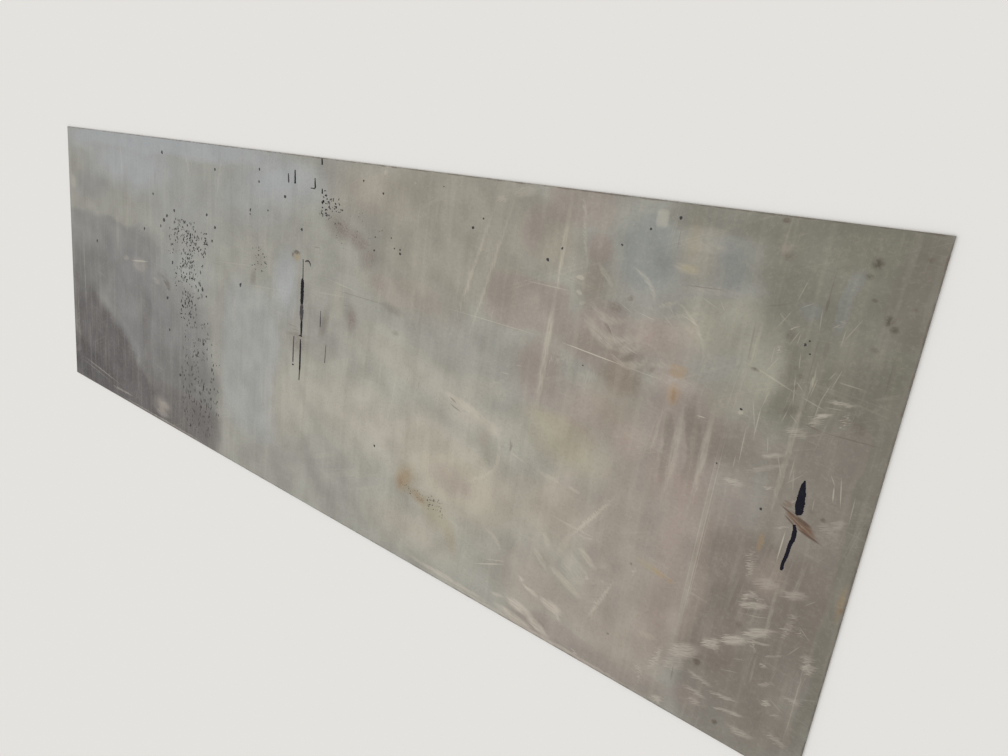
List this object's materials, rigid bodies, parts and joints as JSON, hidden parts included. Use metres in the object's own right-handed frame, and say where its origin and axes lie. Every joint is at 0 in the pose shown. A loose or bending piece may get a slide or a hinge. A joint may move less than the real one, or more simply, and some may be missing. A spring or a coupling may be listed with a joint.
{
  "type": "steel plate",
  "caption": "Flat rectangular hot-rolled steel plate, sheared square on every side, with a mill-finish face marked by handling, oil and light rust.",
  "frame": {"origin": "centre of the underside", "axes": "+X along the plate's length, +Y across its width, +Z out of the face that the shear blade entered"},
  "size_m": [3.6576, 1.2192, 0.0048],
  "materials": {
    "mill_steel": "matt grey-beige mill finish with oil marks, wipe marks, scratches and light rust stains"
  },
  "bodies": {
    "root": {"plate": "mill_steel"}
  },
  "joints": []
}
